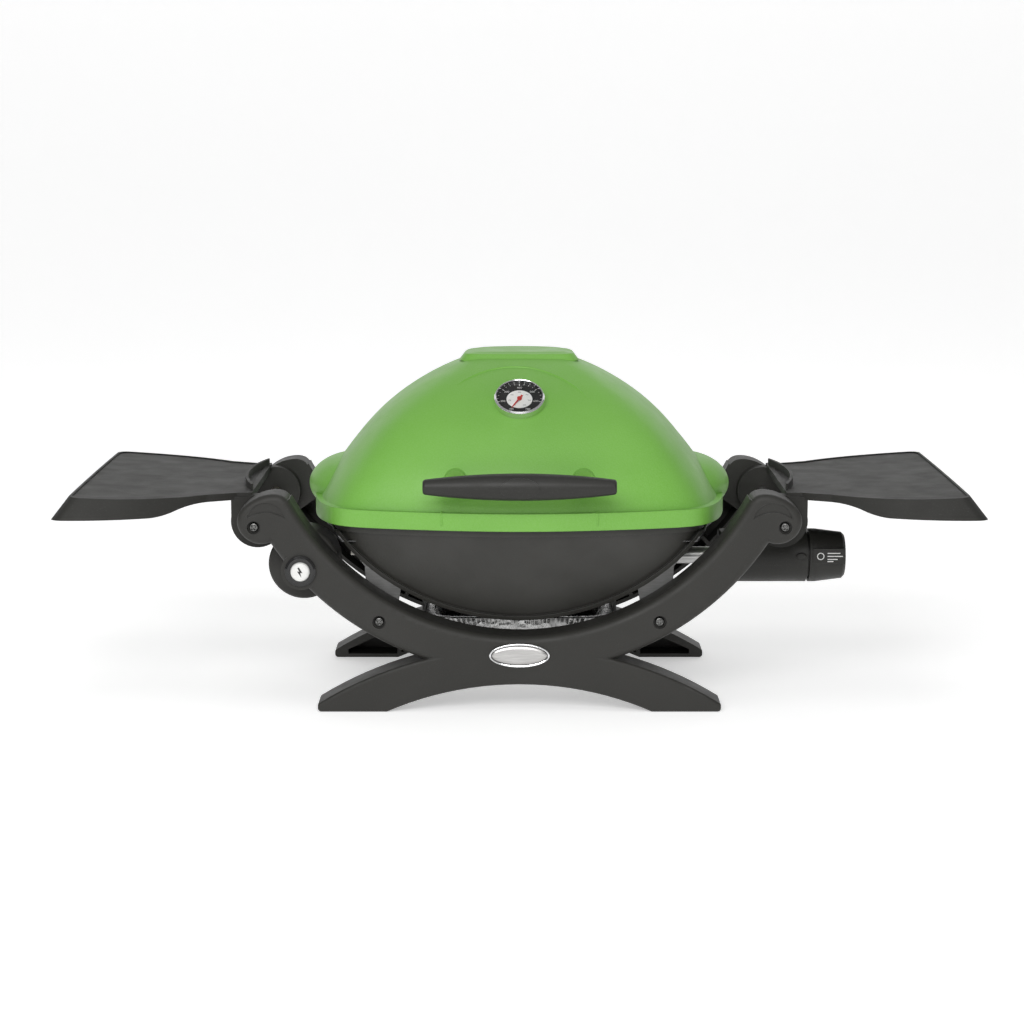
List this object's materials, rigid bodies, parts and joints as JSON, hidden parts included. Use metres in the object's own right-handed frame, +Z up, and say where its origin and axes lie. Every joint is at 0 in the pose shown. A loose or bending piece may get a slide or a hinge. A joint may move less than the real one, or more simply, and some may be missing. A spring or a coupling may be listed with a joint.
{
  "type": "portable gas grill",
  "caption": "Portable table-top gas grill: hinged cast lid, curved cookbox on moulded cradle frames, two folding side tables, gas knob, push igniter and foil catch pan.",
  "frame": {"origin": "on the ground under the centre of the whole grill, lid closed and tables out", "axes": "+X to the right of the cook, +Y to the back, +Z up"},
  "size_m": [1.042, 0.4657, 0.394],
  "materials": {
    "moulded_frame": "fine-grained moulded glass-filled nylon",
    "moulded_table": "fine-grained moulded nylon",
    "lid_enamel": "satin green porcelain enamel",
    "cast_box": "dark cast aluminium",
    "black_nylon": "satin moulded nylon",
    "cast_iron": "black porcelain-enamelled cast iron",
    "stainless": "drawn stainless tube",
    "plated_screw": "zinc plated",
    "satin_badge": "satin plate",
    "chrome_ring": "polished",
    "dial_face": "black scale round a white centre",
    "clear_glass": "clear",
    "red_needle": "gloss red",
    "bracket_steel": "black painted steel",
    "foil": "crinkled foil",
    "brass_valve": "machined",
    "grey_regulator": "die cast",
    "white_button": "gloss white",
    "ceramic": "glazed ceramic"
  },
  "bodies": {
    "base": {"front_frame": "moulded_frame", "rear_frame": "moulded_frame", "frame_screws": "plated_screw", "front_badge": "satin_badge", "pivot_rod_left": "stainless", "pivot_rod_right": "stainless", "cookbox_support_left": "bracket_steel", "cookbox_support_right": "bracket_steel", "cookbox": "cast_box", "grate_left": "cast_iron", "grate_right": "cast_iron", "burner_tube": "stainless", "hinge_bracket_left": "bracket_steel", "hinge_bracket_right": "bracket_steel", "hinge_pin_left": "stainless", "hinge_pin_right": "stainless", "pan_rail_left": "bracket_steel", "pan_rail_right": "bracket_steel", "valve_housing": "black_nylon", "gas_valve": "brass_valve", "gas_regulator": "grey_regulator", "stem_spring": "plated_screw", "igniter_bezel": "moulded_frame", "igniter_housing": "moulded_frame", "igniter_spring": "plated_screw", "igniter_electrode": "ceramic"},
    "lid": {"lid": "lid_enamel", "lid_handle": "black_nylon", "handle_posts": "black_nylon", "handle_screws": "plated_screw", "handle_emblem": "black_nylon", "thermometer_bezel": "chrome_ring", "thermometer_dial": "dial_face", "thermometer_glass": "clear_glass", "thermometer_stem": "plated_screw"},
    "needle": {"thermometer_needle": "red_needle"},
    "left_table": {"left_table": "moulded_table"},
    "right_table": {"right_table": "moulded_table"},
    "knob_slider": {"stem_washer": "plated_screw"},
    "knob": {"valve_stem": "plated_screw", "control_knob": "black_nylon"},
    "igniter_plunger": {"igniter_button": "white_button"},
    "pan": {"catch_pan": "foil"}
  },
  "joints": [
    {"name": "lid_hinge", "type": "hinge", "parent": "base", "child": "lid", "pos_m": [0, 0.213, 0.222], "axis": [-1, 0, 0], "range_deg": [0, 95]},
    {"name": "needle_turn", "type": "hinge", "parent": "lid", "child": "needle", "pos_m": [0, -0.105, 0.347], "axis": [0, -0.5878, 0.809], "range_deg": [-300, 0], "stiffness_Nm_per_rad": 0.001},
    {"name": "left_table_fold", "type": "hinge", "parent": "base", "child": "left_table", "pos_m": [-0.2975, 0, 0.212], "axis": [0, 1, 0], "range_deg": [0, 60]},
    {"name": "right_table_fold", "type": "hinge", "parent": "base", "child": "right_table", "pos_m": [0.2975, 0, 0.212], "axis": [0, -1, 0], "range_deg": [0, 60]},
    {"name": "knob_push", "type": "slide", "parent": "base", "child": "knob_slider", "axis": [-1, 0, 0], "range_m": [0, 0.0025], "stiffness_N_per_m": 400, "springref_m": -0.003},
    {"name": "knob_turn", "type": "hinge", "parent": "knob_slider", "child": "knob", "pos_m": [0.36, 0, 0.1516], "axis": [1, 0, 0], "range_deg": [0, 150]},
    {"name": "igniter_push", "type": "slide", "parent": "base", "child": "igniter_plunger", "axis": [0, 1, 0], "range_m": [0, 0.005], "stiffness_N_per_m": 500, "springref_m": -0.003},
    {"name": "pan_slide", "type": "slide", "parent": "base", "child": "pan", "axis": [0, 1, 0], "range_m": [0, 0.03]}
  ]
}
